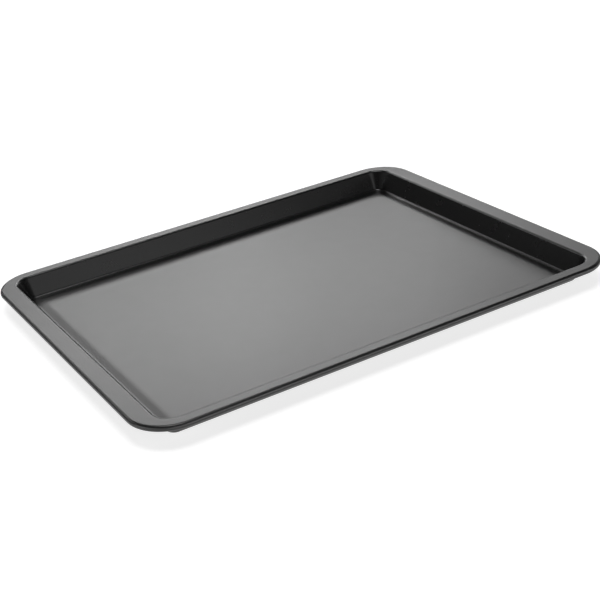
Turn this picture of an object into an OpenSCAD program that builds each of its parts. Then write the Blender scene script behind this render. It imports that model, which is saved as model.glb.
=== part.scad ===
// Baking sheet pan: one coated steel pressing whose rim is curled round a stiffening wire.
// The underside rests on z = 0 and the pan is centred on x = 0, y = 0, with its length along x.

/* [Overall size] */
// Length over the rolled rim
pan_length = 430; // [320:5:600]
// Width over the rolled rim
pan_width = 335; // [240:5:460]
// Height from the underside to the top of the flange
pan_height = 18.5; // [14:0.5:40]

/* [Steel sheet] */
// Thickness of the coated sheet
sheet_t = 0.8; // [0.5:0.1:1.2]
// How much thinner the drawn wall is than the rest of the sheet
wall_thinning = 0.04; // [0.02:0.01:0.1]

/* [Flange] */
// Width of the handling flange at each end, from the rim's edge to the bend
end_flange_w = 15.5; // [10:0.5:32]
// Width of the flange along each long side, from the rim's edge to the bend
side_flange_w = 10; // [7:0.5:24]
// Plan radius of the rim's outer corners
rim_corner_r = 34; // [20:1:42]
// Inside radius of the bend between flange and wall
lip_bend_r = 1.9; // [1:0.1:4]

/* [Well] */
// Flare of the walls away from upright, in degrees
wall_flare = 28; // [5:1:36]
// Inside radius of the bend between wall and floor
foot_bend_r = 2.5; // [1:0.1:5]
// Plan radius of the flat floor's corners
floor_corner_r = 5; // [2:0.5:24]
// How far the floor's middle panel stands above its edge
panel_rise = 1.1; // [0.4:0.1:2]
// Width of the sloping border round the raised panel
border_w = 6; // [4:0.5:12]

/* [Rolled rim] */
// Diameter of the wire inside the rim
wire_d = 3.2; // [2:0.1:4]
// Radial room between the wire and the curl
wire_clearance = 0.1; // [0.05:0.01:0.2]
// Angle through which the sheet wraps round the wire
curl_wrap = 270; // [200:5:290]
// Gap where the two ends of the wire meet
wire_joint_gap = 1; // [0.5:0.1:3]

/* [Hidden] */
$fn = 96;

// Wire and curl share one centre line, one curl radius in from the rim's edge and top
wire_r = wire_d / 2;
curl_inner_r = wire_r + wire_clearance;
curl_r = curl_inner_r + sheet_t;
curl_z = pan_height - curl_r;

// Outside radii of the two bends of the wall
lip_r = lip_bend_r + sheet_t;
foot_r = foot_bend_r + sheet_t;

// Each bend carries a flat tab that laps with the floor or the flange, and the wall's
// ends run a little way into the bends, so that the sheet is continuous throughout
tab = sheet_t / 2;
wall_lap = sheet_t / 4;

// Flat strip between the foot of the wall and the border, wide enough for the border's square
// corners to clear the floor's round ones, and how far the border's form reaches under it
foot_land_share = 0.3;
foot_land = foot_land_share * floor_corner_r;
border_sink = 0.1;

// The wall between its two bends, and the height and width that it covers with them
wall_rise = pan_height - sheet_t - (lip_r + foot_bend_r) * (1 - sin(wall_flare));
wall_length = wall_rise / cos(wall_flare);
wall_run = (lip_r + foot_bend_r) * cos(wall_flare) + wall_rise * tan(wall_flare);

// Mouth of the well, where the flat flange ends, and the flat floor below it
mouth_length = pan_length - 2 * end_flange_w;
mouth_width = pan_width - 2 * side_flange_w;
mouth_corner_r = floor_corner_r + wall_run;
floor_length = mouth_length - 2 * wall_run;
floor_width = mouth_width - 2 * wall_run;

coating_grey = [0.22, 0.22, 0.23];
wire_grey = [0.62, 0.63, 0.64];

// Flat outline with rounded corners, centred on the origin
module rounded_outline(length, width, corner_r) {
    square([length - 2 * corner_r, width], center = true);
    square([length, width - 2 * corner_r], center = true);
    for (x = [-1, 1], y = [-1, 1])
        translate([x * (length / 2 - corner_r), y * (width / 2 - corner_r)])
            circle(r = corner_r);
}

// Section of a bent sheet: part of a ring, from one angle round to another
module bend_section(inner_r, outer_r, from_angle, to_angle) {
    wedge_reach = 2 * outer_r;
    wedge_step = (to_angle - from_angle) / 6;
    intersection() {
        difference() {
            circle(r = outer_r);
            circle(r = inner_r);
        }
        polygon(concat([[0, 0]], [
            for (i = [0 : 6])
                let (a = from_angle + i * wedge_step)
                wedge_reach * [cos(a), sin(a)]
        ]));
    }
}

// Carries a section round a rounded rectangle of the given size.
// The section's x runs outwards from the corner centres, and its y runs up.
// Each side is drawn from its middle out to the two corner centres.
module carry_round(length, width, corner_r) {
    for (turn = [0 : 3]) {
        across = (turn % 2 == 0 ? length : width) / 2 - corner_r;
        along = (turn % 2 == 0 ? width : length) / 2 - corner_r;
        rotate([0, 0, 90 * turn]) {
            for (half = [0, 1])
                mirror([0, half, 0])
                    translate([across, 0, 0])
                        rotate([90, 0, 0])
                            linear_extrude(height = along)
                                children();
            translate([across, along, 0])
                rotate_extrude(angle = 90)
                    children();
        }
    }
}

// Section of the wall, from the flat floor's edge to the mouth:
// floor tab, foot bend, flared wall, lip bend and flange tab
module wall_section() {
    translate([-tab, 0])
        square([tab, sheet_t]);
    translate([0, foot_r]) {
        bend_section(foot_bend_r, foot_r, -90, -wall_flare);
        rotate(-wall_flare)
            translate([foot_bend_r + wall_thinning / 2, -wall_lap])
                square([sheet_t - wall_thinning, wall_length + 2 * wall_lap]);
    }
    translate([wall_run, pan_height - lip_r])
        bend_section(lip_bend_r, lip_r, 90, 180 - wall_flare);
    translate([wall_run, pan_height - sheet_t])
        square([tab, sheet_t]);
}

// Section of the curl, drawn from the rim's outer edge inwards
module curl_section() {
    translate([-curl_r, curl_z])
        bend_section(curl_inner_r, curl_r, 90 - curl_wrap, 90);
}

// Prism along y whose sides slope in from the foot of the wall to the raised panel
module slope_prism(across, along) {
    crest = across / 2 - foot_land - border_w;
    base = crest + border_w * (1 + border_sink / panel_rise);
    rotate([90, 0, 0])
        linear_extrude(height = along, center = true)
            polygon([[-base, -border_sink], [base, -border_sink],
                     [crest, panel_rise], [-crest, panel_rise]]);
}

// Form that raises the floor's panel: the border slopes up to it from all four sides
module panel_form() {
    intersection() {
        slope_prism(floor_length, floor_width);
        rotate([0, 0, 90])
            slope_prism(floor_width, floor_length);
    }
}

// The well: flared wall with its two bends, round the floor with its raised panel
module well() {
    carry_round(floor_length, floor_width, floor_corner_r)
        translate([floor_corner_r, 0])
            wall_section();
    difference() {
        union() {
            linear_extrude(height = sheet_t)
                rounded_outline(floor_length - tab, floor_width - tab, floor_corner_r - tab / 2);
            translate([0, 0, sheet_t])
                panel_form();
        }
        panel_form();
    }
}

// The curl along the rim, and the flat flange between it and the well's mouth
module rolled_flange() {
    carry_round(pan_length, pan_width, rim_corner_r)
        translate([rim_corner_r, 0])
            curl_section();
    translate([0, 0, pan_height - sheet_t])
        linear_extrude(height = sheet_t)
            difference() {
                rounded_outline(pan_length - 2 * curl_r, pan_width - 2 * curl_r,
                                rim_corner_r - curl_r);
                rounded_outline(mouth_length + tab, mouth_width + tab,
                                mouth_corner_r + tab / 2);
            }
}

// The pressing: well, flange and curl are drawn from one blank of sheet
module pan_pressing() {
    color(coating_grey) {
        well();
        rolled_flange();
    }
}

// The wire hoop, whose two ends meet halfway along the far long side
module rim_wire() {
    color(wire_grey)
        difference() {
            carry_round(pan_length, pan_width, rim_corner_r)
                translate([rim_corner_r - curl_r, curl_z])
                    circle(r = wire_r);
            translate([0, pan_width / 2 - curl_r, curl_z])
                cube([wire_joint_gap, 2 * wire_d, 2 * wire_d], center = true);
        }
}

pan_pressing();
rim_wire();
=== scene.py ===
"""Looks of a non-stick baking sheet pan: one steel pressing whose rim is rolled round a wire hoop.

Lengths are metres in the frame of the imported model: +X runs along the pan's length, +Y across its width and
+Z up out of the well, and the underside rests on z = 0.
"""

import logging
import math
from dataclasses import dataclass, field
from enum import Enum

import bpy
import numpy as np
from mathutils import Matrix, Vector


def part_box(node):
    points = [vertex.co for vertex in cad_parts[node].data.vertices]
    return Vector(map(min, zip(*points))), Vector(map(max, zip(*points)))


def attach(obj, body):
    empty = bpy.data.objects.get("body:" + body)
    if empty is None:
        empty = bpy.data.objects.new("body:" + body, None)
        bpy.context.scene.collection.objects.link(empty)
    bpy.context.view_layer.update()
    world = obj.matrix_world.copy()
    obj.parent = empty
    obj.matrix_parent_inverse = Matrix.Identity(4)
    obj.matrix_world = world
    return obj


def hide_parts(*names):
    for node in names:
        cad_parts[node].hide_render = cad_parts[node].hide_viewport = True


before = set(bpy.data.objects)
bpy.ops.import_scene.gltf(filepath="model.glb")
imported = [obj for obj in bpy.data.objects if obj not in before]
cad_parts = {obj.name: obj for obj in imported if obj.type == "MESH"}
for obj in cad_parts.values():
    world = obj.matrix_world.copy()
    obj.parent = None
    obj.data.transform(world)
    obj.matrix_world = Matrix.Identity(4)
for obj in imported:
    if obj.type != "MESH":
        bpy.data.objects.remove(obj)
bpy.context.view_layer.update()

MM = 0.001
PICTURE_SIDE = 600
SENSOR_WIDTH = 36.0
SHARP_ANGLE = 40.0
log = logging.getLogger("sheet_pan")


class Side(Enum):
    """A side of the pan, numbered by the quarter turns from +X to the way that it faces."""

    RIGHT = 0
    FAR = 1
    LEFT = 2
    NEAR = 3


class Face(Enum):
    """Which face of the sheet a part of the section lies on."""

    UPPER = 0
    LOWER = 1


@dataclass(frozen=True)
class RoundedRectangle:
    """Path of the corner centres of a rounded rectangle, walked anticlockwise from the right side's middle.

    Each side has as many stations as the next, so two such paths can be joined station by station.
    """

    half_length: float
    half_width: float
    side_steps: int = 32
    corner_steps: int = 24

    def stations(self) -> tuple[np.ndarray, np.ndarray]:
        """Works out the centres and the outward directions along the path.

        On a side the centre slides along the straight between two corner centres and the direction stays
        square to it. Round a corner the centre stays and the direction turns a quarter, at an even rate.

        Returns:
            The centres and the unit outward directions, each with one row of x and y for each station.
        """
        centres, outward = [], []
        half = np.array([self.half_length, self.half_width])
        for side in Side:
            facing = 0.5 * math.pi * side.value
            turn = np.array([math.cos(facing), math.sin(facing)])
            along = np.array([-turn[1], turn[0]])
            reach = abs(turn @ half)
            run = abs(along @ half)
            slide = np.linspace(-1, 1, self.side_steps, endpoint=False)
            centres.append(reach * turn + np.outer(slide * run, along))
            outward.append(np.tile(turn, (self.side_steps, 1)))
            angle = facing + np.linspace(0, 0.5 * math.pi, self.corner_steps, endpoint=False)
            centres.append(np.tile(reach * turn + run * along, (self.corner_steps, 1)))
            outward.append(np.stack([np.cos(angle), np.sin(angle)], axis=1))
        return np.concatenate(centres), np.concatenate(outward)

    def loop(self, radius: float, height: float) -> np.ndarray:
        """Carries one point of a section round the path.

        Args:
            radius: Distance outwards from the corner centres.
            height: Height above the underside.

        Returns:
            One row of x, y and z for each station.
        """
        centres, outward = self.stations()
        flat = centres + radius * outward
        return np.column_stack([flat, np.full(len(flat), height)])


def arc(centre: tuple[float, float], radius: float, start: float, stop: float, steps: int) -> np.ndarray:
    """Draws points along an arc of a section.

    A point is the centre plus the radius times the cosine and the sine of its angle.

    Args:
        centre: Outward distance and height of the arc's centre.
        radius: Radius of the arc.
        start: First angle in degrees, from outwards towards up.
        stop: Last angle in degrees.
        steps: Number of steps between the two angles.

    Returns:
        One row of outward distance and height for each point, both ends included.
    """
    angle = np.radians(np.linspace(start, stop, steps + 1))
    return np.column_stack([centre[0] + radius * np.cos(angle), centre[1] + radius * np.sin(angle)])


def mesh_object(name: str, vertices: np.ndarray, faces: list[tuple[int, ...]]) -> bpy.types.Object:
    """Makes a mesh object with smooth faces, sharp only at edges past the sharp angle.

    Args:
        name: Name of the object and its mesh.
        vertices: One row of x, y and z for each vertex.
        faces: Vertex numbers of each face, anticlockwise seen from outside.

    Returns:
        The new object, linked to the scene.
    """
    mesh = bpy.data.meshes.new(name)
    mesh.from_pydata(vertices.tolist(), [], faces)
    mesh.polygons.foreach_set("use_smooth", [True] * len(mesh.polygons))
    mesh.set_sharp_from_angle(angle=math.radians(SHARP_ANGLE))
    mesh.validate()
    mesh.update()
    made = bpy.data.objects.new(name, mesh)
    bpy.context.scene.collection.objects.link(made)
    return made


def bands(loops: int, count: int) -> list[tuple[int, ...]]:
    """Joins consecutive closed loops of vertices with four-sided faces.

    Args:
        loops: Number of loops.
        count: Number of vertices in each loop.

    Returns:
        The faces, each turning from one loop to the next.
    """
    here = np.arange(count)
    beside = (here + 1) % count
    rows = count * np.arange(loops - 1)[:, None]
    quads = np.stack([rows + here, rows + beside, rows + count + beside, rows + count + here], axis=-1)
    return [tuple(quad) for quad in quads.reshape(-1, 4).tolist()]


@dataclass(frozen=True)
class Expression:
    """A number socket of a shader, written into sums like a number."""

    shader: "Shader"
    socket: bpy.types.NodeSocket

    def _with(self, operation: str, *values: "Expression | float") -> "Expression":
        """Adds one Math node that works on these values."""
        inputs = {place: value for place, value in enumerate(values)}
        made = self.shader.node("ShaderNodeMath", {"operation": operation}, inputs)
        return Expression(self.shader, made.outputs[0])

    def __add__(self, other: "Expression | float") -> "Expression":
        """Adds a value."""
        return self._with("ADD", self, other)

    def __radd__(self, other: float) -> "Expression":
        """Adds to a number."""
        return self._with("ADD", other, self)

    def __sub__(self, other: "Expression | float") -> "Expression":
        """Takes a value away."""
        return self._with("SUBTRACT", self, other)

    def __rsub__(self, other: float) -> "Expression":
        """Takes this away from a number."""
        return self._with("SUBTRACT", other, self)

    def __mul__(self, other: "Expression | float") -> "Expression":
        """Multiplies by a value."""
        return self._with("MULTIPLY", self, other)

    def __rmul__(self, other: float) -> "Expression":
        """Multiplies a number."""
        return self._with("MULTIPLY", other, self)


@dataclass
class Shader:
    """A material's node tree, with one method that adds any node."""

    material: bpy.types.Material
    tree: bpy.types.NodeTree = field(init=False)

    def __post_init__(self) -> None:
        """Turns the material's nodes on and empties their tree."""
        self.material.use_nodes = True
        self.tree = self.material.node_tree
        self.tree.nodes.clear()

    def node(self, kind: str, settings: dict | None = None, inputs: dict | None = None) -> bpy.types.Node:
        """Adds a node.

        Args:
            kind: Type of the node.
            settings: Properties of the node, set first.
            inputs: Values or links by socket name or number.

        Returns:
            The new node.
        """
        made = self.tree.nodes.new(kind)
        for name, value in (settings or {}).items():
            setattr(made, name, value)
        for name, value in (inputs or {}).items():
            if isinstance(value, Expression):
                value = value.socket
            if isinstance(value, bpy.types.NodeSocket):
                self.tree.links.new(value, made.inputs[name])
            else:
                made.inputs[name].default_value = value
        return made

    def attribute(self, name: str) -> Expression:
        """Reads a number that the piece's mesh carries."""
        return Expression(self, self.node("ShaderNodeAttribute", {"attribute_name": name}).outputs["Fac"])

    def noise(self, patch: float, detail: float = 2.0) -> Expression:
        """Adds a noise from 0 to 1 over the piece, with patches of this size."""
        place = self.node("ShaderNodeTexCoord").outputs["Object"]
        inputs = {"Vector": place, "Scale": 1 / patch, "Detail": detail}
        return Expression(self, self.node("ShaderNodeTexNoise", {}, inputs).outputs[0])

    def bump(self, height: Expression, distance: float, strength: float) -> bpy.types.NodeSocket:
        """Turns a height from 0 to 1 into a normal, as if it stood that distance high."""
        inputs = {"Height": height, "Distance": distance, "Strength": strength}
        return self.node("ShaderNodeBump", {}, inputs).outputs["Normal"]

    def show(self, surface: bpy.types.Node) -> None:
        """Makes a shader node the material's surface."""
        self.node("ShaderNodeOutputMaterial", {}, {"Surface": surface.outputs[0]})


@dataclass(frozen=True)
class NonStickCoating:
    """Baked-on black coating: satin on the flat sheet and glossier where the sheet was drawn."""

    slot: str = "non_stick_coating"
    colour: tuple[float, float, float] = (0.004, 0.004, 0.004)
    refraction: float = 1.5
    flat_roughness: float = 0.36
    drawn_roughness: float = 0.27
    mottle_size: float = 14 * MM
    mottle_detail: float = 3.0
    mottle_roughness: float = 0.03
    grain_size: float = 0.35 * MM
    grain_height: float = 0.01 * MM
    grain_strength: float = 0.1

    def material(self) -> bpy.types.Material:
        """Builds the coating's material.

        The roughness passes from the flat sheet's to the drawn sheet's, and a mottle swings it about that.

        Returns:
            The material.
        """
        made = bpy.data.materials.new(self.slot)
        shader = Shader(made)
        drawn = shader.attribute("drawn")
        mottle = shader.noise(self.mottle_size, self.mottle_detail)
        speckle = shader.noise(self.grain_size)
        gloss = drawn * (self.drawn_roughness - self.flat_roughness)
        inputs = {
            "Base Color": (*self.colour, 1),
            "Roughness": self.flat_roughness + gloss + (mottle - 0.5) * self.mottle_roughness,
            "Normal": shader.bump(speckle, self.grain_height, self.grain_strength),
            "IOR": self.refraction,
        }
        shader.show(shader.node("ShaderNodeBsdfPrincipled", {}, inputs))
        return made


@dataclass(frozen=True)
class WireSteel:
    """Bright steel wire with a fine grain."""

    slot: str = "rim_wire_steel"
    colour: tuple[float, float, float] = (0.55, 0.56, 0.57)
    least_roughness: float = 0.28
    grain_roughness: float = 0.1
    grain_size: float = 0.6 * MM
    grain_height: float = 0.01 * MM
    grain_strength: float = 0.1

    def material(self) -> bpy.types.Material:
        """Builds the wire's material.

        Returns:
            The material.
        """
        made = bpy.data.materials.new(self.slot)
        shader = Shader(made)
        grain = shader.noise(self.grain_size)
        inputs = {
            "Base Color": (*self.colour, 1),
            "Metallic": 1.0,
            "Roughness": self.least_roughness + self.grain_roughness * grain,
            "Normal": shader.bump(grain, self.grain_height, self.grain_strength),
        }
        shader.show(shader.node("ShaderNodeBsdfPrincipled", {}, inputs))
        return made


@dataclass(frozen=True)
class Sheet:
    """Sizes of the pressing and its rolled rim.

    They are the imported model's, but for the floor's border, which is wider here because its crest is soft.
    """

    length: float
    width: float
    height: float
    thickness: float = 0.8 * MM
    end_flange: float = 15.5 * MM
    side_flange: float = 10.0 * MM
    rim_corner: float = 34.0 * MM
    lip_bend: float = 1.9 * MM
    flare: float = 28.0
    foot_bend: float = 2.5 * MM
    floor_corner: float = 5.0 * MM
    floor_border: float = 9.5 * MM
    panel_rise: float = 1.1 * MM
    wire: float = 3.2 * MM
    wire_clearance: float = 0.1 * MM
    curl_wrap: float = 270.0
    wire_gap: float = 1.0 * MM

    @property
    def curl_inside(self) -> float:
        """Inside radius of the curl."""
        return self.wire / 2 + self.wire_clearance

    @property
    def curl(self) -> float:
        """Outside radius of the curl."""
        return self.curl_inside + self.thickness

    @property
    def curl_height(self) -> float:
        """Height of the centre line that the curl and the wire share."""
        return self.height - self.curl

    @property
    def lip(self) -> float:
        """Outside radius of the bend between wall and flange."""
        return self.lip_bend + self.thickness

    @property
    def wall_run(self) -> float:
        """Width that the flared wall and its two bends cover.

        The two bends and the slanted wall between them reach from the floor's upper face to the flange's.
        """
        slant = math.radians(self.flare)
        both = self.lip + self.foot_bend
        rise = self.height - self.thickness - both * (1 - math.sin(slant))
        return both * math.cos(slant) + rise * math.tan(slant)

    @property
    def well_path(self) -> RoundedRectangle:
        """Corner centres of the well."""
        inset = self.wall_run + self.floor_corner
        return RoundedRectangle(
            self.length / 2 - self.end_flange - inset,
            self.width / 2 - self.side_flange - inset,
        )

    @property
    def rim_path(self) -> RoundedRectangle:
        """Corner centres of the rim."""
        return RoundedRectangle(self.length / 2 - self.rim_corner, self.width / 2 - self.rim_corner)

    @classmethod
    def from_node(cls, node: str) -> "Sheet":
        """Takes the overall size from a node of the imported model."""
        low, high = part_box(node)
        return cls(length=high.x - low.x, width=high.y - low.y, height=high.z)


@dataclass
class PressedPan:
    """The pressing: floor, flared wall, flange and curl in one closed shell of sheet.

    The wall's and the flange's shares say how far across them each loop of vertices lies. Some lie close to
    both ends, so that what is flat between the bends shades as flat.
    """

    sheet: Sheet
    bend_steps: int = 12
    curl_steps: int = 40
    edge_band: float = 0.25 * MM
    crest_share: float = 0.5
    crest_steps: int = 10
    slope_steps: int = 3
    foot_share: float = 0.1
    foot_steps: int = 3
    panel_corner: float = 2.0 * MM
    wall_shares: tuple[float, ...] = (0.03, 0.25, 0.5, 0.75, 0.97)
    flange_shares: tuple[float, ...] = (0.03, 0.3, 0.6, 0.97)

    def border(self, face: Face) -> np.ndarray:
        """Lays one face of the floor's border, from the raised panel down to the foot of the wall.

        The loops pass evenly from the panel's rounded outline to the foot's. Across the border the slope
        grows evenly over the crest's share, stays as it is, and fades evenly over the foot's share, so the
        height falls in two parabolas with a straight between them.

        Args:
            face: Upper or lower face of the sheet.

        Returns:
            The loops, the first of them just inside the panel's edge.
        """
        sheet = self.sheet
        level = sheet.thickness if face is Face.UPPER else 0.0
        foot = sheet.well_path
        shift = sheet.floor_border + self.panel_corner - sheet.floor_corner
        panel = RoundedRectangle(foot.half_length - shift, foot.half_width - shift)
        outer = foot.loop(sheet.floor_corner - self.edge_band, level)
        edge = panel.loop(self.panel_corner, level)
        crest, low = self.crest_share, self.foot_share
        rounding = np.linspace(0, crest, self.crest_steps, endpoint=False)
        slope = np.linspace(crest, 1 - low, self.slope_steps, endpoint=False)
        landing = np.linspace(1 - low, 1, self.foot_steps + 1)
        share = np.concatenate([rounding, slope, landing])
        steep = 1 / (1 - (crest + low) / 2)
        rounded = steep * share**2 / (2 * crest)
        straight = steep * (share - crest / 2)
        fading = 1 - steep * (1 - share) ** 2 / (2 * low)
        fall = np.where(share < crest, rounded, np.where(share > 1 - low, fading, straight))
        made = edge + share[:, None, None] * (outer - edge)
        made[..., 2] += sheet.panel_rise * (1 - fall[:, None])
        inside = panel.loop(self.panel_corner - self.edge_band, level + sheet.panel_rise)
        return np.concatenate([inside[None], made])

    def wall_section(self, face: Face) -> tuple[np.ndarray, np.ndarray]:
        """Draws one face of the wall, from the flat floor's edge out to the mouth.

        A concave arc at the foot and a convex arc at the lip are joined by the straight slanted wall.

        Args:
            face: Upper or lower face of the sheet.

        Returns:
            Outward distances and heights from the well's corner centres, and how far each point is drawn,
            from 0 on the flat sheet to 1 on the wall.
        """
        sheet = self.sheet
        lower = face is Face.LOWER
        foot_radius = sheet.foot_bend + (sheet.thickness if lower else 0)
        lip_radius = sheet.lip_bend if lower else sheet.lip
        foot_centre = (sheet.floor_corner, sheet.thickness + sheet.foot_bend)
        lip_centre = (sheet.floor_corner + sheet.wall_run, sheet.height - sheet.lip)
        foot = arc(foot_centre, foot_radius, -90, -sheet.flare, self.bend_steps)
        lip = arc(lip_centre, lip_radius, 180 - sheet.flare, 90, self.bend_steps)
        shares = np.array(self.wall_shares)[:, None]
        wall = foot[-1] + shares * (lip[0] - foot[-1])
        points = np.concatenate([foot, wall, lip])
        rise = np.linspace(0, 1, self.bend_steps + 1)
        drawn = np.concatenate([rise, np.ones(len(wall)), 1 - rise])
        return points, drawn

    def curl_section(self) -> np.ndarray:
        """Draws the curl: round its outer face, across its cut edge and back along its inner face.

        Returns:
            Outward distances and heights from the rim's corner centres.
        """
        sheet = self.sheet
        centre = (sheet.rim_corner - sheet.curl, sheet.curl_height)
        outer = arc(centre, sheet.curl, 90, 90 - sheet.curl_wrap, self.curl_steps)
        inner = arc(centre, sheet.curl_inside, 90 - sheet.curl_wrap, 90, self.curl_steps)
        return np.concatenate([outer, inner])

    def loops(self) -> tuple[np.ndarray, np.ndarray]:
        """Carries the whole section round the pan.

        The wall follows the well's corner centres and the curl follows the rim's. The flat flange between
        them joins the two station by station.

        Returns:
            The loops of vertices, from the floor's upper face out to the curl and back along the lower
            face, and how far each loop is drawn.
        """
        sheet = self.sheet
        well, rim = sheet.well_path, sheet.rim_path
        upper, upper_drawn = self.wall_section(Face.UPPER)
        lower, lower_drawn = self.wall_section(Face.LOWER)
        shares = np.array(self.flange_shares)[:, None, None]
        top, bottom = self.border(Face.UPPER), self.border(Face.LOWER)[::-1]
        wall = np.array([well.loop(*point) for point in upper])
        back = np.array([well.loop(*point) for point in lower[::-1]])
        curl = np.array([rim.loop(*point) for point in self.curl_section()])
        above = wall[-1] + shares * (curl[0] - wall[-1])
        below = curl[-1] + shares * (back[0] - curl[-1])
        flat = np.zeros(len(top))
        rim_drawn = np.zeros(len(above) + len(curl) + len(below))
        drawn = np.concatenate([flat, upper_drawn, rim_drawn, lower_drawn[::-1], flat])
        return np.concatenate([top, wall, above, curl, below, back, bottom]), drawn

    def build(self, material: bpy.types.Material) -> bpy.types.Object:
        """Makes the pressing's mesh and dresses it.

        Args:
            material: The coating.

        Returns:
            The pressing.
        """
        loops, drawn = self.loops()
        rows, count = loops.shape[:2]
        floor = tuple(range(count))
        underside = tuple(range(rows * count - 1, (rows - 1) * count - 1, -1))
        faces = [tuple(reversed(face)) for face in bands(rows, count)]
        pan = mesh_object("pressed_pan", loops.reshape(-1, 3), [floor, *faces, underside])
        layer = pan.data.attributes.new("drawn", "FLOAT", "POINT")
        layer.data.foreach_set("value", np.repeat(drawn, count).astype(np.float32))
        pan.data.materials.append(material)
        return pan


@dataclass
class RimWire:
    """The wire hoop inside the curl, whose ends meet with a small gap halfway along the far side."""

    sheet: Sheet
    sides: int = 20

    def build(self, material: bpy.types.Material) -> bpy.types.Object:
        """Makes the hoop as a circle carried along the rim's centre line, with flat ends.

        Each ring's point is the centre line's point plus the wire's radius times the cosine of its angle
        outwards and times the sine upwards.

        Args:
            material: The wire's steel.

        Returns:
            The hoop.
        """
        sheet = self.sheet
        path = sheet.rim_path
        centres, outward = path.stations()
        middle = path.side_steps + path.corner_steps + path.side_steps // 2
        centres = np.roll(centres, -middle, axis=0)
        outward = np.roll(outward, -middle, axis=0)
        centres = np.concatenate([centres, centres[:1]])
        outward = np.concatenate([outward, outward[:1]])
        centres[0, 0] -= sheet.wire_gap / 2
        centres[-1, 0] += sheet.wire_gap / 2
        angle = np.linspace(0, 2 * math.pi, self.sides, endpoint=False)
        reach = sheet.rim_corner - sheet.curl + sheet.wire / 2 * np.cos(angle)
        flat = centres[:, None, :] + reach[None, :, None] * outward[:, None, :]
        height = np.broadcast_to(sheet.curl_height + sheet.wire / 2 * np.sin(angle), flat.shape[:2])
        rings = np.concatenate([flat, height[..., None]], axis=2)
        first = tuple(range(self.sides))
        last = tuple(range((len(rings) - 1) * self.sides, len(rings) * self.sides))
        faces = bands(len(rings), self.sides)
        hoop = mesh_object("wire_hoop", rings.reshape(-1, 3), [tuple(reversed(first)), *faces, last])
        hoop.data.materials.append(material)
        return hoop


@dataclass(frozen=True)
class PictureCamera:
    """The photograph's camera, as the pan's straight edges and rounded corners give it."""

    place: tuple[float, float, float] = (-461.2 * MM, -866.7 * MM, 457.1 * MM)
    azimuth: float = -28.246
    elevation: float = 25.44
    roll: float = 6.299
    focal_pixels: float = 1255.9
    sees_as_far_as: float = 100.0

    def build(self) -> bpy.types.Object:
        """Sets the camera up and makes it the scene's.

        The view direction comes from azimuth and elevation, and the picture is then turned by the roll.

        Returns:
            The camera.
        """
        azimuth, elevation, roll = map(math.radians, (self.azimuth, self.elevation, self.roll))
        level = math.cos(elevation)
        ahead = Vector((-math.sin(azimuth) * level, math.cos(azimuth) * level, -math.sin(elevation)))
        right = ahead.cross(Vector((0, 0, 1))).normalized()
        down = ahead.cross(right)
        across = math.cos(roll) * right + math.sin(roll) * down
        below = math.cos(roll) * down - math.sin(roll) * right
        lens = bpy.data.cameras.new("picture_camera")
        lens.sensor_width = SENSOR_WIDTH
        lens.lens = SENSOR_WIDTH * self.focal_pixels / PICTURE_SIDE
        lens.clip_end = self.sees_as_far_as
        made = bpy.data.objects.new("picture_camera", lens)
        turn = Matrix((across, -below, -ahead)).transposed().to_4x4()
        made.matrix_world = Matrix.Translation(self.place) @ turn
        bpy.context.scene.collection.objects.link(made)
        bpy.context.scene.camera = made
        return made


@dataclass(frozen=True)
class Softbox:
    """A rectangular studio light that faces the pan, given by its direction and the angles that it fills.

    Angles are in degrees: azimuth from +Y towards +X, elevation above the floor.
    """

    name: str
    azimuth: float
    elevation: float
    across: float
    upright: float
    brightness: float
    distance: float = 3.0

    def build(self) -> bpy.types.Object:
        """Hangs the light.

        Each side's length is twice the distance times the tangent of half the angle that it fills. The
        power is the brightness times pi times the area.

        Returns:
            The light.
        """
        azimuth, elevation = math.radians(self.azimuth), math.radians(self.elevation)
        level = math.cos(elevation)
        towards = Vector((math.sin(azimuth) * level, math.cos(azimuth) * level, math.sin(elevation)))
        lamp = bpy.data.lights.new(self.name, "AREA")
        lamp.shape = "RECTANGLE"
        lamp.size = 2 * self.distance * math.tan(math.radians(self.across / 2))
        lamp.size_y = 2 * self.distance * math.tan(math.radians(self.upright / 2))
        lamp.energy = self.brightness * math.pi * lamp.size * lamp.size_y
        made = bpy.data.objects.new(self.name, lamp)
        made.location = towards * self.distance
        made.rotation_euler = towards.to_track_quat("Z", "Y").to_euler()
        bpy.context.scene.collection.objects.link(made)
        return made


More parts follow.
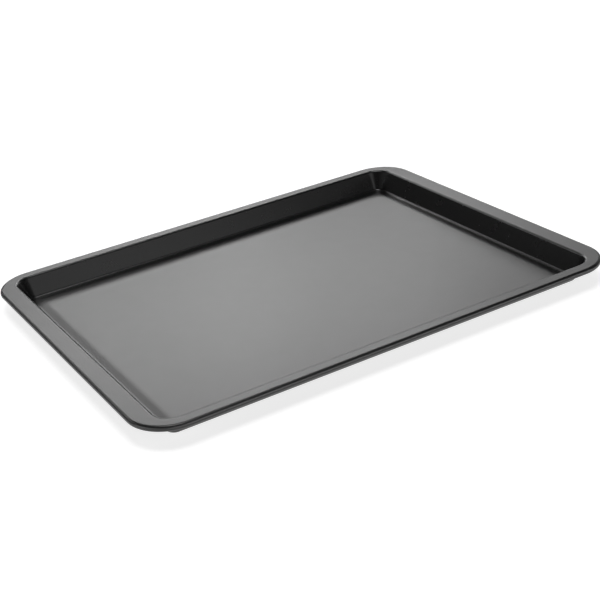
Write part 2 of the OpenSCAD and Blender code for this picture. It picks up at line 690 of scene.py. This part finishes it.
@dataclass(frozen=True)
class Studio:
    """Plain pale floor that glows a little by itself, soft lights and dim surroundings.

    Each light below has its azimuth, its elevation, the angles that it fills across and upright, and its
    brightness.
    """

    floor_size: float = 12.0
    floor_drop: float = 0.1 * MM
    floor_colour: tuple[float, float, float] = (0.5, 0.5, 0.5)
    floor_glow: float = 0.74
    surroundings: float = 0.002
    lights: tuple[Softbox, ...] = (
        Softbox("back_centre_high", 17, 34, 14, 7, 2.5),
        Softbox("back_centre", 17, 27, 14, 7, 9.0),
        Softbox("back_right_high", 31, 34, 14, 7, 1.0),
        Softbox("back_right", 31, 27, 14, 7, 9.5),
        Softbox("back_far_right", 45, 25, 14, 22, 2.0),
        Softbox("back_left", 2, 31, 16, 12, 3.0),
        Softbox("back_far_left", -20, 31, 20, 12, 2.0),
        Softbox("left_back", -38, 31, 16, 12, 2.5),
        Softbox("overhead", 0, 89, 24, 24, 7.5),
        Softbox("front_low", 170, 8, 100, 6, 11.0),
        Softbox("front_high", 163, 30, 24, 18, 1.0),
        Softbox("left_low", -95, 12, 60, 14, 4.0),
        Softbox("right_low", 70, 20, 20, 16, 1.0),
    )

    def build(self) -> None:
        """Lays the floor, hangs the lights and sets the surroundings."""
        half = self.floor_size / 2
        corners = np.array([[-half, -half, 0], [half, -half, 0], [half, half, 0], [-half, half, 0]])
        ground = mesh_object("studio_floor", corners - [0, 0, self.floor_drop], [(0, 1, 2, 3)])
        paper = bpy.data.materials.new("studio_paper")
        shader = Shader(paper)
        matt = shader.node("ShaderNodeBsdfDiffuse", {}, {"Color": (*self.floor_colour, 1)})
        glow = shader.node("ShaderNodeEmission", {}, {"Strength": self.floor_glow})
        shader.show(shader.node("ShaderNodeAddShader", {}, {0: matt.outputs[0], 1: glow.outputs[0]}))
        ground.data.materials.append(paper)
        for light in self.lights:
            light.build()
        world = bpy.data.worlds.new("studio")
        world.use_nodes = True
        backdrop = world.node_tree.nodes["Background"]
        backdrop.inputs["Color"].default_value = (1, 1, 1, 1)
        backdrop.inputs["Strength"].default_value = self.surroundings
        scene = bpy.context.scene
        scene.world = world
        scene.view_settings.view_transform = "Standard"


def put_in_place(piece: bpy.types.Object, node: str) -> None:
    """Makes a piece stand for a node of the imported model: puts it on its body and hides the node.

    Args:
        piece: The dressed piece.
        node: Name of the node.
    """
    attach(piece, "root")
    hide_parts(node)
    log.info("%s stands for %s: %d faces", piece.name, node, len(piece.data.polygons))


def main() -> None:
    """Builds the pan, its studio and its camera."""
    logging.basicConfig(level=logging.INFO, format="%(name)s: %(message)s")
    coating, steel = NonStickCoating(), WireSteel()
    sheet = Sheet.from_node("pan_pressing")
    put_in_place(PressedPan(sheet).build(coating.material()), "pan_pressing")
    put_in_place(RimWire(sheet).build(steel.material()), "rim_wire")
    Studio().build()
    PictureCamera().build()


if __name__ == "__main__":
    main()
